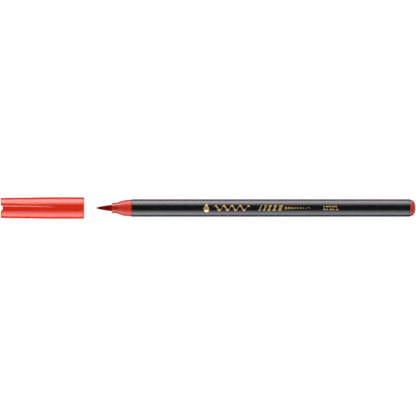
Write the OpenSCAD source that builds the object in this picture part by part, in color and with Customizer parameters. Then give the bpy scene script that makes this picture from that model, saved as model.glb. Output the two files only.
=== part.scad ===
// Brush pen with a round barrel, a flexible pointed tuft and a pull-off cap.
// Millimetres. The pen's axis runs along X, the tuft points to -X, and Z is up.
// The pen lies level with its cap pulled off in front of the tuft, in line with it.
// The origin is on the surface under the cap, midway along the pen and cap together.
// Each piece is drawn along its own +Z, rearward, from its front end, and then laid along X.

/* [Barrel] */
// Outside diameter of the barrel
barrel_d = 8.5; // [8.4:0.05:8.55]
// Length of the barrel tube
barrel_len = 135.8; // [125:0.1:150]
// Wall thickness of the barrel
barrel_wall = 0.8; // [0.75:0.05:0.9]

/* [Front section] */
// Diameter of the nose that the tuft comes out of
nose_d = 5.1; // [5:0.05:5.15]
// Length of the nose, up to the shoulder
nose_len = 2.85; // [2.6:0.05:3]
// Diameter of the shoulder at the front of the curved cone
shoulder_d = 5.5; // [5.4:0.05:5.6]
// Length of the curved cone
cone_len = 5.9; // [5.5:0.1:6.5]
// Diameter of the collar that meets the barrel
collar_d = 8.0; // [7.9:0.05:8.05]
// Length of the collar
collar_len = 0.9; // [0.7:0.1:1.2]
// Length of the spigot inside the barrel
spigot_len = 11; // [10:0.5:13]

/* [Tuft] */
// Length of the brush tuft outside the nose
tuft_len = 7.5; // [6.5:0.1:7.8]
// Diameter of the tuft at its root
tuft_d = 3.2; // [3:0.05:3.3]
// Bluntness of the tuft's outline: 1 is a straight cone
tuft_power = 0.62; // [0.55:0.01:0.75]

/* [Ink system] */
// Diameter of the feed rod
feed_d = 2.0; // [1.8:0.1:2.2]
// Length of the feed rod
feed_len = 26; // [24:1:30]
// Diameter of the ink reservoir's fibre core
core_d = 6.4; // [6:0.1:6.5]
// Length of the ink reservoir
core_len = 100; // [80:1:105]
// Thickness of the film round the reservoir
film_t = 0.15; // [0.1:0.01:0.16]

/* [End plug] */
// Length of the dome outside the barrel
dome_len = 2.5; // [2.5:0.1:3]
// Diameter of the dome where it meets the barrel
dome_d = 8.0; // [7.9:0.05:8.05]
// Length of the plug's socket inside the barrel
socket_len = 7; // [6:0.5:9]

/* [Cap] */
// Length of the cap
cap_len = 40.65; // [40:0.05:42]
// Diameter of the cap at its closed end
cap_end_d = 9.82; // [9.6:0.02:9.9]
// Largest diameter of the cap
cap_mid_d = 10.5; // [10.4:0.05:10.7]
// Diameter of the cap at its mouth
cap_mouth_d = 10.44; // [10.4:0.02:10.6]
// Distance from the closed end to the widest point
cap_mid_at = 24.4; // [23:0.1:28]
// Diameter of the bore that slides over the barrel
cap_bore_d = 8.9; // [8.8:0.02:9]
// Number of grip ribs in the bore
cap_ribs = 6; // [4:1:8]
// Depth of the air channel across the closed end
channel_depth = 1.0; // [0.8:0.05:1.1]
// Length of the flutes along the cap's top and underside
flute_len = 27.5; // [24:0.5:30]
// Depth of the flutes at the closed end
flute_depth = 0.7; // [0.5:0.05:0.75]
// Gap between the cap's mouth and the tip of the tuft
cap_gap = 5.95; // [4:0.05:20]

/* [Printed foil] */
// Distance from the barrel's front edge to the first mark
print_at = 35.1; // [30:0.1:40]
// Length of the brush wave
wave_len = 18; // [14:1:20]
// Height of the brush wave from its middle line
wave_rise = 1.05; // [0.9:0.05:1.2]

/* [Hidden] */
$fn = 96;
eps = 0.01;

barrel_r = barrel_d / 2;
bore_r = barrel_r - barrel_wall;
edge = 0.12;                // chamfer on the barrel's ends
rear_round = 0.3;           // rounding of the barrel's outer rear edge
fit = 0.01;                 // radial gap of a press fit
collar_r = collar_d / 2;
nose_r = nose_d / 2;
tuft_r = tuft_d / 2;
feed_r = feed_d / 2;
core_r = core_d / 2;
dome_r = dome_d / 2;

// Places along X in the row frame
front_len = tuft_len + nose_len + cone_len + collar_len;
cap_x = -(cap_len + cap_gap + front_len + barrel_len + dome_len) / 2;
tip_x = cap_x + cap_len + cap_gap;
nose_x = tip_x + tuft_len;
front_x = tip_x + front_len;
rear_x = front_x + barrel_len;
axis_z = max(cap_mid_d, cap_mouth_d) / 2;

// Inside the front section, measured back from the nose's front face
shoulder_z = nose_len;
collar_z = nose_len + cone_len;
barrel_z = collar_z + collar_len;
spigot_z = barrel_z + spigot_len;
bead_w = 0.5;               // sealing bead at the root of the nose
bead_r = nose_r + 0.07;
mouth_r = tuft_r + 0.15;    // clearance bore that the tuft bends in
mouth_len = 2.2;
grip_r = tuft_r + 0.02;     // bore that holds the tuft's base
seat_z = 5.2;               // internal shoulder that the base's flange seats on
rear_bore_r = 2.3;
flange_r = rear_bore_r - 0.05;
flange_len = 1.0;
bush_len = 4.0;
vent_w = 0.45;              // air channels between the tuft and the nose
vents = 4;

// Ink system, measured back from the nose's front face
feed_z = 3.6;
core_z = spigot_z + 0.4;
core_hole_r = feed_r + 0.03;
core_hole_len = feed_z + feed_len - core_z + 0.5;

// Inside the cap, measured from its closed end
cap_edge = 0.45;            // rounding of the cap's outer edges
liner_z = 2.5;
liner_len = 12.6;
liner_bore_r = 3.75;
liner_r = liner_bore_r - fit;
chamber_r = 3.1;
lip_r = nose_r + 0.05;
lip_len = 1.0;
step_z = 17.0;              // where the liner's bore opens into the barrel's bore
cap_bore_r = cap_bore_d / 2;
stop_z = 21.8;              // the barrel's edge meets the ribs' steps here
rib_w = 0.5;
rib_r = barrel_r + 0.05;
rib_stop_r = collar_r + 0.06;
rib_end_z = cap_len - 2.5;

// Brush wave of the print
wave_pitch = wave_len / 4.5;
wave_steps = 72;

// Points of an arc about centre c, from angle a to angle b
function arc(c, r, a, b, n = 8) =
    [for (i = [0:n]) let (turn = a + (b - a) * i / n) c + r * [cos(turn), sin(turn)]];

// Lays a piece drawn along +Z on the pen's axis, with its front end at x
module along_axis(x) {
    translate([x, 0, axis_z]) rotate([0, 90, 0]) children();
}

// A bore of radius r from z0 to z1
module bore(r, z0, z1) {
    translate([0, 0, z0]) cylinder(r = r, h = z1 - z0);
}

// Repeats its child n times round the axis
module ring_of(n) {
    for (i = [0:n - 1]) rotate([0, 0, i * 360 / n]) children();
}

module barrel() {
    color("#26262a") along_axis(front_x) rotate_extrude() polygon(concat(
        [[bore_r, edge], [bore_r + edge, 0], [barrel_r - edge, 0], [barrel_r, edge]],
        arc([barrel_r - rear_round, barrel_len - rear_round], rear_round, 0, 90, 6),
        [[bore_r + edge, barrel_len], [bore_r, barrel_len - edge]]));
}

// Nose with its sealing bead, curved cone, collar and the spigot that presses into the barrel
module section_outside() {
    nose_edge = 0.25;
    rise = collar_r - shoulder_d / 2;
    cone_arc_r = (cone_len * cone_len + rise * rise) / (2 * rise);
    rotate_extrude() polygon(concat(
        [[0, 0]],
        arc([nose_r - nose_edge, nose_edge], nose_edge, -90, 0, 8),
        [[nose_r, shoulder_z - bead_w - 0.25], [bead_r, shoulder_z - bead_w - 0.1],
         [bead_r, shoulder_z - 0.2], [nose_r, shoulder_z - 0.1],
         [nose_r, shoulder_z + eps], [0, shoulder_z + eps]]));
    rotate_extrude() intersection() {
        translate([collar_r - cone_arc_r, collar_z]) circle(cone_arc_r);
        translate([0, shoulder_z]) square([collar_r + 1, cone_len]);
    }
    bore(collar_r, collar_z - eps, barrel_z);
    rotate_extrude() polygon([
        [0, barrel_z - eps], [bore_r - fit, barrel_z - eps], [bore_r - fit, spigot_z - 0.6],
        [bore_r - 0.4, spigot_z], [0, spigot_z]]);
}

module front_section() {
    groove_w = 0.8;
    color("#c4362a") along_axis(nose_x) difference() {
        section_outside();
        bore(mouth_r, -eps, mouth_len);
        bore(grip_r, -eps, seat_z + eps);
        bore(rear_bore_r, seat_z, spigot_z + eps);
        ring_of(vents) translate([0, -vent_w / 2, -eps]) cube([mouth_r + 0.3, vent_w, seat_z + 0.5]);
        // two relief grooves and an air slot in the spigot
        for (z = [barrel_z + 3, barrel_z + 6]) translate([0, 0, z]) difference() {
            cylinder(r = bore_r + 1, h = groove_w);
            cylinder(r = bore_r - 0.25, h = groove_w);
        }
        translate([bore_r - 0.35, -0.4, barrel_z + 1]) cube([1, 0.8, spigot_len]);
    }
}

// Pointed tuft, with a round root that turns in the nose's mouth as the tuft bends
module tuft() {
    steps = 16;
    outline = [for (i = [0:steps]) let (t = pow(i / steps, 1.5))
        [tuft_r * pow(t, tuft_power), -tuft_len * (1 - t)]];
    color("#5c0a08") along_axis(nose_x) {
        rotate_extrude() polygon(concat(outline, [[0, 0]]));
        intersection() {
            sphere(tuft_r);
            bore(tuft_r + 1, 0, tuft_r + 1);
        }
    }
}

// Fused root of the tuft: a cup behind the tuft's round end, and a flange that stops it pulling out
module tuft_base() {
    cup_r = tuft_r + 0.08;
    color("#8a1d18") along_axis(nose_x) difference() {
        union() {
            bore(tuft_r, 0.75, seat_z + flange_len);
            bore(flange_r, seat_z, seat_z + flange_len);
        }
        sphere(cup_r);
        bore(feed_r + fit, feed_z, seat_z + flange_len + eps);
    }
}

// Bush pressed in behind the tuft's base, which holds it forward and guides the feed rod
module retaining_bush() {
    guide_r = feed_r + 0.05;
    press_r = rear_bore_r - fit;
    lead = 0.4;
    color("#e8e4da") along_axis(nose_x + seat_z + flange_len) rotate_extrude() polygon([
        [guide_r, 0], [press_r, 0], [press_r, bush_len - lead], [press_r - lead, bush_len],
        [guide_r + lead, bush_len], [guide_r, bush_len - lead]]);
}

module feed_rod() {
    tip = 0.5;
    color("#7d1712") along_axis(nose_x + feed_z) rotate_extrude() polygon([
        [0, 0], [feed_r, 0], [feed_r, feed_len - tip], [feed_r - tip, feed_len], [0, feed_len]]);
}

module ink_core() {
    color("#9a1c16") along_axis(nose_x + core_z) difference() {
        cylinder(r = core_r, h = core_len);
        bore(core_hole_r, -eps, core_hole_len);
    }
}

module core_film() {
    color("#e6e6e2") along_axis(nose_x + core_z) difference() {
        cylinder(r = core_r + film_t, h = core_len);
        bore(core_r + fit, -eps, core_len + eps);
    }
}

// Dome whose end face, of radius face_r, runs into a rounded side, with a small gate dimple in the middle
module plug_dome() {
    face_r = 8;
    side_r = 2.2;
    face_c = [0, dome_len - face_r];
    side_x = dome_r - side_r;
    side_c = [side_x, face_c[1] + sqrt(pow(face_r - side_r, 2) - side_x * side_x)];
    meet = atan2(side_c[1] - face_c[1], side_x);
    dimple_r = 0.55;
    dimple_depth = 0.18;
    difference() {
        rotate_extrude() polygon(concat(
            [[0, 0], [dome_r, 0]], arc(side_c, side_r, 0, meet, 24), arc(face_c, face_r, meet, 90, 12)));
        translate([0, 0, dome_len - dimple_depth])
            cylinder(r1 = dimple_r - 0.1, r2 = dimple_r, h = dimple_depth + eps);
    }
}

module end_plug() {
    post_len = barrel_len - spigot_len - 0.4 - core_len - 0.3;
    post_w = 4.4;
    blade = 0.9;
    crush_ribs = 8;
    crush_rib = [0.28, 0.5, socket_len - 0.4];
    color("#a83a34") along_axis(rear_x) {
        plug_dome();
        difference() {
            bore(bore_r - 0.12, -socket_len, eps);
            bore(bore_r - 1, -socket_len - eps, -1);
        }
        ring_of(crush_ribs) translate([bore_r - 0.3, -crush_rib[1] / 2, -crush_rib[2]]) cube(crush_rib);
        for (turn = [0, 90]) rotate([0, 0, turn])
            translate([-post_w / 2, -blade / 2, -post_len]) cube([post_w, blade, post_len - 0.5]);
    }
}

// Middle line and half width of a stroke along a wave, thick where it falls and thin where it rises
function wave_mid(x) = wave_rise * sin(360 * x / wave_pitch);
function wave_half(x) = let (fall = max(0, -cos(360 * x / wave_pitch)))
    (0.3 + 0.4 * fall) * min(1, (x + 0.5) / 2, (wave_len - x + 0.5) / 2);

module wave() {
    xs = [for (i = [0:wave_steps]) wave_len * i / wave_steps];
    polygon(concat(
        [for (x = xs) [x, wave_mid(x) + wave_half(x)]],
        [for (i = [wave_steps:-1:0]) [xs[i], wave_mid(xs[i]) - wave_half(xs[i])]]));
}

// Ink drop: a disc with a point that meets it tangentially
module drop(r, point) {
    side = acos(r / point);
    circle(r);
    polygon([[0, point], [-r * sin(side), r * cos(side)], [r * sin(side), r * cos(side)]]);
}

// Printed marks: an ink drop, a brush wave, slanted bars, a row of shrinking dots and two rows of dashes
module marks() {
    drop_r = 1.45;
    drop_point = 2.55;
    wave_at = 4.8;
    bars_at = wave_at + wave_len + 4.2;
    bar_h = 2.5;
    lean = 0.9;
    dots_at = bars_at + 13.2;
    dashes_at = dots_at + 18.2;
    dash_h = 0.65;
    translate([drop_r, (drop_r - drop_point) / 2]) drop(drop_r, drop_point);
    translate([wave_at, 0]) wave();
    for (i = [0:4]) {
        w = 0.6 + 0.25 * i;
        translate([bars_at + 1.9 * i + 0.1 * i * i, -bar_h / 2])
            polygon([[0, 0], [w, 0], [w + lean, bar_h], [lean, bar_h]]);
    }
    for (i = [0:8]) translate([dots_at + 1.4 * i, 0]) circle(r = 0.62 - 0.04 * i);
    for (row = [0, 1], i = [0:4]) translate([dashes_at + 1.5 * i, 1.4 * row - 0.7 - dash_h / 2])
        square([(i + row) % 2 == 0 ? 1.2 : 0.7, dash_h]);
}

module foil_print() {
    lift = 0.01;
    foil_t = 0.03;
    color("#d8b25a") intersection() {
        along_axis(front_x + 1) difference() {
            cylinder(r = barrel_r + lift + foil_t, h = barrel_len - 2);
            bore(barrel_r + lift, -eps, barrel_len);
        }
        translate([front_x + print_at, 0, axis_z]) linear_extrude(barrel_r + 1) marks();
    }
}

// Channel across the closed end, with rounded lips
module end_channel() {
    channel_r = 1.55;
    lip = 0.4;
    centre_z = channel_depth - channel_r;
    lip_x = sqrt(pow(channel_r + lip, 2) - pow(lip - centre_z, 2));
    reach = cap_mid_d;
    rotate([0, 90, 0]) rotate([0, 0, 90]) translate([0, 0, -reach]) linear_extrude(2 * reach) union() {
        translate([0, centre_z]) circle(channel_r);
        difference() {
            translate([-lip_x, -1]) square([2 * lip_x, 1 + lip * 0.9]);
            for (side = [-1, 1]) translate([side * lip_x, lip]) circle(lip);
            translate([0, lip]) square([2 * lip_x, 0.2], center = true);
        }
    }
}

// A long flute whose floor follows a shallow arc of radius sweep_r, in flat steps, and runs out along the cap.
// One wall is steep, with a flat lip along its crest. The other is a gentle slope that runs out into the surface.
module flute() {
    sweep_r = 525;
    steep = 31;
    lip = 15;
    gentle = 12.6;
    crest_h = 0.42;
    crest_y = -crest_h / tan(steep);
    lip_w = 1.6;
    cut_h = 1.6;
    bottom_r = 0.2;
    start_y = 0.62;
    end_y = 0.33;
    end_r = cap_end_d / 2;
    rise = cap_mid_d / 2 - end_r + flute_depth;
    low_z = (flute_len * flute_len - 2 * sweep_r * rise) / (2 * flute_len);
    translate([0, -start_y, 0]) rotate([-atan((start_y - end_y) / flute_len), 0, 0])
        intersection_for (z = [3, 10, 17, 24]) {
            height = end_r - flute_depth + (z * z - 2 * z * low_z) / (2 * sweep_r);
            translate([height, 0, z]) rotate([0, atan((z - low_z) / sweep_r), 0])
                linear_extrude(2 * cap_len, center = true) polygon(concat(
                    [[cut_h, cut_h / tan(gentle)]],
                    arc([bottom_r, 0], bottom_r, 180 - gentle, 180 + steep, 4),
                    [[crest_h, crest_y], [crest_h - lip_w * tan(lip), crest_y - lip_w], [cut_h, crest_y - lip_w]]));
        }
}

module cap_shell() {
    end_r = cap_end_d / 2;
    mouth_r = cap_mouth_d / 2;
    color("#d4301e") along_axis(cap_x) {
        difference() {
            rotate_extrude() polygon(concat(
                [[0, 0]],
                arc([end_r - cap_edge, cap_edge], cap_edge, -90, 0, 12),
                [[cap_mid_d / 2, cap_mid_at]],
                arc([mouth_r - cap_edge, cap_len - cap_edge], cap_edge, 0, 90, 12),
                [[cap_bore_r + 0.2, cap_len], [cap_bore_r, cap_len - 0.3], [cap_bore_r, step_z + 0.7],
                 [liner_bore_r, step_z], [liner_bore_r, liner_z - 0.1], [0, liner_z - 0.1]]));
            end_channel();
            for (turn = [0, 180]) rotate([0, 0, turn]) flute();
        }
        ring_of(cap_ribs) grip_rib();
    }
}

// Rib in the cap's bore: it grips the barrel, and its step stops the barrel's edge
module grip_rib() {
    rotate([90, 0, 0]) translate([0, 0, -rib_w / 2]) linear_extrude(rib_w) polygon([
        [cap_bore_r + 0.1, step_z + 1], [rib_stop_r, step_z + 1.4], [rib_stop_r, stop_z], [rib_r, stop_z],
        [rib_r, rib_end_z - 0.6], [cap_bore_r, rib_end_z], [cap_bore_r + 0.1, rib_end_z]]);
}

// Inner cup that seals on the nose with a flexible lip
module cap_liner() {
    end_wall = 0.6;
    lip_z = liner_len - lip_len - 0.8;
    color("#f0ead8") along_axis(cap_x + liner_z) rotate_extrude() polygon([
        [0, 0], [liner_r - 0.3, 0], [liner_r, 0.3], [liner_r, liner_len],
        [lip_r + 0.6, liner_len], [lip_r, lip_z + lip_len], [lip_r, lip_z],
        [chamber_r, lip_z - 0.5], [chamber_r, end_wall], [0, end_wall]]);
}

barrel();
front_section();
tuft();
tuft_base();
retaining_bush();
feed_rod();
ink_core();
core_film();
end_plug();
foil_print();
cap_shell();
cap_liner();
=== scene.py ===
"""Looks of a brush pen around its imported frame. Metres: +X runs from the tuft to the end plug, +Z is up."""

import math
import random

import bmesh
import bpy
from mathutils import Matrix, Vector

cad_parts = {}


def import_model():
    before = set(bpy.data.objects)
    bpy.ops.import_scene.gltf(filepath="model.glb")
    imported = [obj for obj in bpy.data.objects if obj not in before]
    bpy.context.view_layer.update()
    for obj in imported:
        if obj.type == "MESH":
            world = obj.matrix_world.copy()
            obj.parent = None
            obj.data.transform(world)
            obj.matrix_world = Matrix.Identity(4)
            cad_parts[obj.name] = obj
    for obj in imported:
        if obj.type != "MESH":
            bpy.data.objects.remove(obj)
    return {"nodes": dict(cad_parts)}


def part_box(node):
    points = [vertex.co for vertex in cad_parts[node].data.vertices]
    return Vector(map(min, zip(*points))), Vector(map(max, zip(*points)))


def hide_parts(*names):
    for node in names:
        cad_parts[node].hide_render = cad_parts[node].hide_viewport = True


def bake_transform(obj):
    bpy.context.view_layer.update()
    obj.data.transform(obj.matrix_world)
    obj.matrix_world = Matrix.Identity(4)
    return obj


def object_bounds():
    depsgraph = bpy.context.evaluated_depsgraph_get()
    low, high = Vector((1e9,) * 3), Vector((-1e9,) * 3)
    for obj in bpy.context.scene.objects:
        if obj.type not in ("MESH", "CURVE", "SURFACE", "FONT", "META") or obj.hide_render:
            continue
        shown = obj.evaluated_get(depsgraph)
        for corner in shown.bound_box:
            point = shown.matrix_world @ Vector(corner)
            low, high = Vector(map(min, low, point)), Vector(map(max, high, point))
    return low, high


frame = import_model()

MM = 0.001
cad_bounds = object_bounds()


# ---------------------------------------------------------------- places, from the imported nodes

barrel_low, barrel_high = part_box("barrel")
front_low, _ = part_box("front_section")
tuft_low, tuft_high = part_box("tuft")

axis_z = (barrel_low.z + barrel_high.z) / 2
nose_x = front_low.x
tip_x = tuft_low.x
tuft_len = nose_x - tip_x
tuft_r = (tuft_high.y - tuft_low.y) / 2
pen_len = cad_bounds[1].x - cad_bounds[0].x


# ---------------------------------------------------------------- camera and objects

def link(obj):
    bpy.context.scene.collection.objects.link(obj)
    return obj


def camera():
    """Looks straight down, square to the pen, with the pen nearly as wide as the picture."""
    margin = 1.0032
    height = 0.6
    data = bpy.data.cameras.new("camera")
    data.type = "ORTHO"
    data.ortho_scale = pen_len * margin
    made = link(bpy.data.objects.new("camera", data))
    made.location = (0, 0, height)
    bpy.context.scene.camera = made


def mesh_object(name, bm, material):
    """A smooth-shaded object from a bmesh."""
    data = bpy.data.meshes.new(name)
    bm.to_mesh(data)
    bm.free()
    data.polygons.foreach_set("use_smooth", [True] * len(data.polygons))
    data.materials.append(material)
    return link(bpy.data.objects.new(name, data))


# ---------------------------------------------------------------- shader nodes

def math_node(nodes, links, operation, first, second):
    """A Math node on two inputs, which are sockets or numbers."""
    node = nodes.new("ShaderNodeMath")
    node.operation = operation
    for i, value in enumerate((first, second)):
        if isinstance(value, bpy.types.NodeSocket):
            links.new(value, node.inputs[i])
        else:
            node.inputs[i].default_value = value
    return node.outputs[0]


def map_range(nodes, links, value, low, high, to_low, to_high, interpolation="SMOOTHSTEP"):
    """Carries a value from low..high to to_low..to_high and holds it there outside."""
    node = nodes.new("ShaderNodeMapRange")
    node.interpolation_type = interpolation
    for key, setting in (("From Min", low), ("From Max", high), ("To Min", to_low), ("To Max", to_high)):
        node.inputs[key].default_value = setting
    links.new(value, node.inputs["Value"])
    return node.outputs["Result"]


def emission(nodes, links, strength, color=(1, 1, 1)):
    """An Emission node whose strength is a socket or a number."""
    node = nodes.new("ShaderNodeEmission")
    node.inputs["Color"].default_value = (*color, 1)
    if isinstance(strength, bpy.types.NodeSocket):
        links.new(strength, node.inputs["Strength"])
    else:
        node.inputs["Strength"].default_value = strength
    return node.outputs[0]


def add_shaders(nodes, links, first, second):
    node = nodes.new("ShaderNodeAddShader")
    links.new(first, node.inputs[0])
    links.new(second, node.inputs[1])
    return node.outputs[0]


# ---------------------------------------------------------------- materials

class Finish:
    """A Principled material being built, with patterns that follow the piece's own coordinates in metres."""

    def __init__(self, name, color, roughness, **sockets):
        self.material = bpy.data.materials.new(name)
        self.material.use_nodes = True
        self.nodes = self.material.node_tree.nodes
        self.links = self.material.node_tree.links
        self.shader = self.nodes["Principled BSDF"]
        self.set("Base Color", (*color, 1))
        self.set("Roughness", roughness)
        for key, value in sockets.items():
            self.set(key.replace("_", " "), value)
        self.place = self.nodes.new("ShaderNodeTexCoord").outputs["Object"]

    def set(self, key, value):
        self.shader.inputs[key].default_value = value

    def drive(self, key, socket):
        self.links.new(socket, self.shader.inputs[key])

    def noise(self, grain, detail=2.0):
        """Noise from 0 to 1 whose grains are about grain metres, one number for each of X, Y and Z."""
        mapping = self.nodes.new("ShaderNodeMapping")
        mapping.inputs["Scale"].default_value = [1 / g for g in grain]
        self.links.new(self.place, mapping.inputs["Vector"])
        texture = self.nodes.new("ShaderNodeTexNoise")
        texture.inputs["Scale"].default_value = 1.0
        texture.inputs["Detail"].default_value = detail
        self.links.new(mapping.outputs["Vector"], texture.inputs["Vector"])
        return texture.outputs["Fac"]

    def along(self, axis):
        """The piece's own coordinate along X, Y or Z, in metres."""
        split = self.nodes.new("ShaderNodeSeparateXYZ")
        self.links.new(self.place, split.inputs["Vector"])
        return split.outputs[axis]

    def spread(self, socket, low, high, to_low, to_high):
        """A pattern or a coordinate carried smoothly from low..high to to_low..to_high."""
        return map_range(self.nodes, self.links, socket, low, high, to_low, to_high)

    def mix(self, share, first, second):
        """A colour between first and second, which are colours or sockets."""
        node = self.nodes.new("ShaderNodeMix")
        node.data_type = "RGBA"
        self.links.new(share, node.inputs["Factor"])
        for key, value in ((6, first), (7, second)):
            if isinstance(value, tuple):
                node.inputs[key].default_value = (*value, 1)
            else:
                self.links.new(value, node.inputs[key])
        return node.outputs[2]

    def bump(self, *layers):
        """Adds surface relief, one (pattern, depth in metres) for each layer."""
        normal = None
        for pattern, depth in layers:
            node = self.nodes.new("ShaderNodeBump")
            node.inputs["Strength"].default_value = 1.0
            node.inputs["Distance"].default_value = depth
            self.links.new(pattern, node.inputs["Height"])
            if normal is not None:
                self.links.new(normal, node.inputs["Normal"])
            normal = node.outputs["Normal"]
        self.drive("Normal", normal)


def barrel_finish():
    """Satin anthracite plastic, drawn lengthways, with faint handling marks."""
    f = Finish("barrel_anthracite", (0.005, 0.005, 0.0055), 0.2, IOR=1.5)
    drawn = f.noise((12 * MM, 0.12 * MM, 0.12 * MM))
    grain = f.noise((0.09 * MM,) * 3)
    marks = f.noise((3 * MM, 0.6 * MM, 0.6 * MM), detail=5)
    f.drive("Base Color", f.mix(f.spread(marks, 0.35, 0.7, 0, 1), (0.004, 0.004, 0.0045), (0.006, 0.006, 0.0065)))
    f.drive("Roughness", f.spread(marks, 0.3, 0.75, 0.17, 0.26))
    f.bump((drawn, 0.6e-6), (grain, 0.25e-6))
    return f.material


def red_plastic(name, color, deeper, roughness, waviness, **sockets):
    """Red plastic, coloured through, with the slight waviness of a moulding. Its colour is kept as f.color."""
    f = Finish(name, color, roughness, IOR=1.5, **sockets)
    cloud = f.noise((4 * MM,) * 3, detail=3)
    haze = f.noise((2.5 * MM, 0.8 * MM, 0.8 * MM), detail=4)
    f.color = f.mix(f.spread(cloud, 0.35, 0.68, 0, 1), color, deeper)
    f.drive("Base Color", f.color)
    f.drive("Roughness", f.spread(haze, 0.3, 0.75, roughness * 0.85, roughness * 1.35))
    f.bump((f.noise((5 * MM, 1.6 * MM, 1.6 * MM)), waviness), (f.noise((0.12 * MM,) * 3), 0.12e-6))
    return f


def cap_finish():
    return red_plastic("cap_gloss_red", (0.83, 0.028, 0.0075), (0.80, 0.025, 0.0065), 0.1, 1e-6,
                       Specular_Tint=(1.0, 0.95, 0.84, 1), Specular_IOR_Level=0.46).material


def section_finish():
    """The nose is thin and shows the dark root of the tuft through it, so it is darker than the cone. It also shines more."""
    f = red_plastic("section_red", (0.66, 0.038, 0.018), (0.63, 0.034, 0.016), 0.15, 1.5e-6,
                    Specular_Tint=(1.0, 0.95, 0.88, 1))
    shoulder_x = nose_x + 2.2 * MM
    f.drive("Specular IOR Level", f.spread(f.along("X"), shoulder_x, shoulder_x + 1.6 * MM, 0.4, 0.27))
    nose = f.spread(f.along("X"), shoulder_x, shoulder_x + 2.2 * MM, 1, 0)
    f.drive("Base Color", f.mix(nose, f.color, (0.48, 0.017, 0.0035)))
    return f.material


def plug_finish():
    return red_plastic("plug_satin_red", (0.43, 0.042, 0.032), (0.41, 0.038, 0.028), 0.2, 1.5e-6,
                       Specular_IOR_Level=0.27).material


def tuft_finish():
    """Filaments wet with ink: dull, with a red sheen where they are seen edge-on, and redder towards the root."""
    f = Finish("tuft_filaments", (0.2, 0.006, 0.001), 0.6, IOR=1.45, Specular_IOR_Level=0.0,
               Sheen_Weight=1.0, Sheen_Roughness=0.55, Sheen_Tint=(1.0, 0.015, 0.0, 1))
    strands = f.noise((3 * MM, 0.13 * MM, 0.13 * MM), detail=3)
    wet = f.mix(f.spread(strands, 0.35, 0.66, 0, 1), (0.09, 0.006, 0.003), (0.21, 0.007, 0.002))
    root = f.spread(f.along("X"), nose_x - 2.2 * MM, nose_x + 0.2 * MM, 0, 1)
    f.drive("Base Color", f.mix(root, wet, (0.22, 0.010, 0.004)))
    f.drive("Roughness", f.spread(strands, 0.3, 0.7, 0.5, 0.7))
    return f.material


def foil_finish():
    """Hot-stamped gold foil: metal, slightly crinkled, with patches of less shine."""
    f = Finish("foil_gold", (0.86, 0.62, 0.24), 0.42, Metallic=1.0)
    crinkle = f.noise((0.35 * MM,) * 3, detail=4)
    f.drive("Base Color", f.mix(f.spread(crinkle, 0.35, 0.7, 0, 1), (0.9, 0.66, 0.27), (0.8, 0.56, 0.2)))
    f.drive("Roughness", f.spread(crinkle, 0.3, 0.75, 0.38, 0.5))
    f.bump((crinkle, 4e-6))
    return f.material


def liner_finish():
    """Natural polyethylene: milky, with a soft shine."""
    f = Finish("liner_natural", (0.80, 0.78, 0.70), 0.42, IOR=1.5, Subsurface_Weight=0.2, Subsurface_Scale=0.5 * MM)
    cloud = f.noise((2 * MM,) * 3, detail=3)
    f.drive("Base Color", f.mix(cloud, (0.83, 0.81, 0.74), (0.76, 0.73, 0.64)))
    f.bump((f.noise((0.3 * MM,) * 3), 1e-6))
    return f.material


def fibre_finish(name, pale, dark):
    """Bundled fibres that run lengthways, soaked with ink."""
    f = Finish(name, pale, 0.7, Sheen_Weight=0.1)
    strands = f.noise((6 * MM, 0.07 * MM, 0.07 * MM), detail=4)
    f.drive("Base Color", f.mix(f.spread(strands, 0.35, 0.65, 0, 1), dark, pale))
    f.bump((strands, 0.03 * MM))
    return f.material


def film_finish():
    """Thin wrap, a little cloudy, with lengthways creases."""
    f = Finish("film_wrap", (0.82, 0.80, 0.77), 0.3, IOR=1.5)
    creases = f.noise((9 * MM, 0.7 * MM, 0.7 * MM), detail=3)
    f.drive("Base Color", f.mix(creases, (0.84, 0.82, 0.80), (0.74, 0.66, 0.63)))
    f.bump((creases, 0.05 * MM))
    return f.material


def floor_finish():
    """A lit white table: it glows about as white as the picture can show, so shadows on it are faint."""
    f = Finish("floor_pale", (0.14, 0.14, 0.14), 0.9, Emission_Color=(1, 1, 1, 1), Emission_Strength=0.92)
    cloud = f.noise((60 * MM,) * 3, detail=3)
    f.drive("Base Color", f.mix(cloud, (0.15, 0.15, 0.15), (0.13, 0.13, 0.13)))
    return f.material


# ---------------------------------------------------------------- the studio

def table_sheet(name, material):
    """A level stage sheet, far wider than the picture."""
    half = 3.0
    bm = bmesh.new()
    bmesh.ops.create_grid(bm, x_segments=2, y_segments=2, size=half)
    return mesh_object(name, bm, material)


def light_material(name):
    """An empty material for a stage light that is found only by rays that hit it."""
    made = bpy.data.materials.new(name)
    made.use_nodes = True
    made.cycles.emission_sampling = "NONE"
    made.node_tree.nodes.clear()
    return made, made.node_tree.nodes, made.node_tree.links


def show(nodes, links, shader):
    """Makes a shader the material's surface."""
    out = nodes.new("ShaderNodeOutputMaterial")
    links.new(shader, out.inputs["Surface"])


def floor():
    made = table_sheet("floor", floor_finish())
    made.visible_glossy = False
    made.visible_diffuse = False


def glow():
    """Light from the table, as the object's sides and underside see it: brighter than the picture can show."""
    strength = 1.3
    below_floor = 0.1 * MM
    material, nodes, links = light_material("glow")
    show(nodes, links, emission(nodes, links, strength))
    made = table_sheet("glow", material)
    made.location.z = -below_floor
    made.visible_camera = False
    made.visible_glossy = False
    made.visible_transmission = False
    made.visible_shadow = False


def softbox_band(nodes, links, angle, light):
    """How bright a long soft light is, seen at an angle from overhead: it rises, stays at its peak and falls."""
    rise, top, fall, end = (math.radians(a) for a in light["angles"])
    rising = map_range(nodes, links, angle, rise, top, 0, light["peak"])
    falling = map_range(nodes, links, angle, fall, end, 1, 0)
    return math_node(nodes, links, "MULTIPLY", rising, falling)


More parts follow.
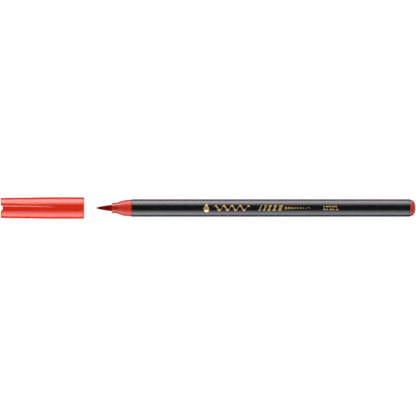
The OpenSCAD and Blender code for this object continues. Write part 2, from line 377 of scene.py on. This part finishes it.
def reflections():
    """A dome that only reflections see: two long soft lights beside the pen, weaker and turned a little
    towards the plug, and dark overhead, below and beyond both ends."""
    radius = 1.0
    # angles are degrees from overhead: the light rises between the first two and falls between the last two
    upper = {"side": 1, "angles": (29, 76, 91, 121), "peak": 8.6, "color": (1.0, 0.95, 0.985)}
    lower = {"side": -1, "angles": (24, 74, 92, 121), "peak": 5.9, "color": (0.9, 0.925, 1.0)}
    pen_span = (-0.08, 0.12)
    turn_at_plug = math.radians(4)
    strength_at_plug = 0.7
    ambient = 0.05

    material, nodes, links = light_material("reflections")
    place = nodes.new("ShaderNodeTexCoord")
    split = nodes.new("ShaderNodeSeparateXYZ")
    links.new(place.outputs["Object"], split.inputs["Vector"])
    along, across, height = split.outputs
    turn = map_range(nodes, links, along, *pen_span, 0, turn_at_plug)
    angle = math_node(nodes, links, "SUBTRACT", math_node(nodes, links, "ARCTAN2", across, height), turn)
    weaker = map_range(nodes, links, along, *pen_span, 1, strength_at_plug)
    rear = map_range(nodes, links, along, 0.4, 0.85, 1, 0)  # the lights stop short of both ends of the dome
    ahead = map_range(nodes, links, along, -0.95, -0.6, 0, 1)
    ends = math_node(nodes, links, "MULTIPLY", math_node(nodes, links, "MULTIPLY", rear, ahead), weaker)

    total = emission(nodes, links, ambient)
    for light in (upper, lower):
        turned = math_node(nodes, links, "MULTIPLY", angle, light["side"])
        band = math_node(nodes, links, "MULTIPLY", softbox_band(nodes, links, turned, light), ends)
        total = add_shaders(nodes, links, total, emission(nodes, links, band, light["color"]))
    show(nodes, links, total)

    bm = bmesh.new()
    bmesh.ops.create_icosphere(bm, subdivisions=5, radius=radius)
    dome = mesh_object("reflections", bm, material)
    dome.location.z = axis_z
    dome.visible_camera = False
    dome.visible_diffuse = False
    dome.visible_shadow = False
    dome.visible_transmission = False


def world():
    """Plain soft light from all round, stronger from the sides than from above."""
    horizon, zenith = 1.75, 0.35
    made = bpy.data.worlds.new("studio")
    made.use_nodes = True
    nodes, links = made.node_tree.nodes, made.node_tree.links
    place = nodes.new("ShaderNodeTexCoord")
    split = nodes.new("ShaderNodeSeparateXYZ")
    links.new(place.outputs["Generated"], split.inputs["Vector"])
    strength = map_range(nodes, links, split.outputs["Z"], 0, 1, horizon, zenith, "LINEAR")
    nodes["Background"].inputs["Color"].default_value = (1, 1, 1, 1)
    links.new(strength, nodes["Background"].inputs["Strength"])
    made.cycles_visibility.glossy = False
    bpy.context.scene.world = made


def color_management():
    view = bpy.context.scene.view_settings
    view.view_transform = "Standard"
    view.look = "None"


# ---------------------------------------------------------------- the tuft

def outline(back):
    """The tuft's radius at a distance back from its tip: a full-bodied point, then the straight root."""
    fullness = 0.56
    return tuft_r * min(1.0, max(back, 0) / tuft_len) ** fullness


def tube(bm, centres, radii, sides):
    """A closed tube through centres, with a radius at each."""
    aside = Vector((0.0, 0.31, 0.95))  # never along a tube, since they all run nearly along X
    rings = []
    for i, (c, r) in enumerate(zip(centres, radii)):
        ahead = centres[min(i + 1, len(centres) - 1)] - centres[max(i - 1, 0)]
        across = ahead.cross(aside).normalized()
        up = across.cross(ahead).normalized()
        rings.append([bm.verts.new(c + r * (math.cos(a) * across + math.sin(a) * up))
                      for a in (2 * math.pi * k / sides for k in range(sides))])
    for one, two in zip(rings, rings[1:]):
        for k in range(sides):
            bm.faces.new((one[k], one[(k + 1) % sides], two[(k + 1) % sides], two[k]))
    bm.faces.new(list(reversed(rings[0])))
    bm.faces.new(rings[-1])


def filament(bm, rng, angle, depth, ends_before):
    """One tapered filament, at a share depth of the tuft's radius, which ends a little short of the tip."""
    inside = 1.1 * MM  # length hidden in the nose
    thick, thin = 0.1 * MM, 0.03 * MM
    taper = 0.8
    steps, sides = 18, 6
    spacing = 0.8  # below 1, the rings lie closer together towards the tip
    sway = rng.uniform(-0.1, 0.1)
    lift = rng.uniform(-0.02, 0.012)
    centres, radii = [], []
    for i in range(steps + 1):
        t = (i / steps) ** spacing
        back = ends_before + (tuft_len + inside - ends_before) * (1 - t)
        share = min(1.0, back / tuft_len)
        r = thin + (thick - thin) * share ** taper
        ring = max(outline(back) * (depth + lift * math.sin(math.pi * t)) - r, 0.0)
        a = angle + sway * (1 - share)
        centres.append(Vector((tip_x + back, ring * math.cos(a), axis_z + ring * math.sin(a))))
        radii.append(r)
    tube(bm, centres, radii, sides)


def tuft():
    """Filaments in layers round a solid core, drawn together to a point by the ink."""
    rng = random.Random(7)
    layers = ((96, 1.0, 0.5), (60, 0.86, 0.2), (30, 0.62, 0.1))  # count, share of the radius, unevenness at the tip
    nearer_tip = 1.6  # above 1, more of the filaments end near the tip
    core_rings, core_share, core_sides = 20, 0.84, 32
    core_spacing = 1.4  # above 1, the core's rings lie closer together towards the tip
    core_inside = 1.0 * MM
    bm = bmesh.new()
    for count, depth, uneven in layers:
        for i in range(count):
            angle = 2 * math.pi * (i + rng.uniform(-0.25, 0.25)) / count
            ends_before = rng.uniform(0.0, uneven) ** nearer_tip * MM
            filament(bm, rng, angle, depth, ends_before)
    core_back = [tuft_len * (i / core_rings) ** core_spacing for i in range(1, core_rings + 1)]
    core_back.append(tuft_len + core_inside)
    core_back.reverse()
    tube(bm, [Vector((tip_x + b, 0, axis_z)) for b in core_back], [outline(b) * core_share for b in core_back],
         core_sides)
    made = mesh_object("tuft_filaments", bm, tuft_finish())
    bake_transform(made)
    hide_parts("tuft")


# ---------------------------------------------------------------- the object

FINISHES = {
    "barrel": barrel_finish,
    "front_section": section_finish,
    "tuft_base": lambda: fibre_finish("tuft_root", (0.2, 0.012, 0.008), (0.1, 0.006, 0.004)),
    "retaining_bush": liner_finish,
    "feed_rod": lambda: fibre_finish("feed_fibre", (0.34, 0.02, 0.012), (0.2, 0.01, 0.006)),
    "ink_core": lambda: fibre_finish("core_fibre", (0.42, 0.018, 0.012), (0.26, 0.01, 0.007)),
    "core_film": film_finish,
    "end_plug": plug_finish,
    "foil_print": foil_finish,
    "cap_shell": cap_finish,
    "cap_liner": liner_finish,
}


def dress_frame():
    for node, finish in FINISHES.items():
        frame["nodes"][node].data.materials[0] = finish()


camera()
color_management()
world()
reflections()
floor()
glow()
dress_frame()
tuft()
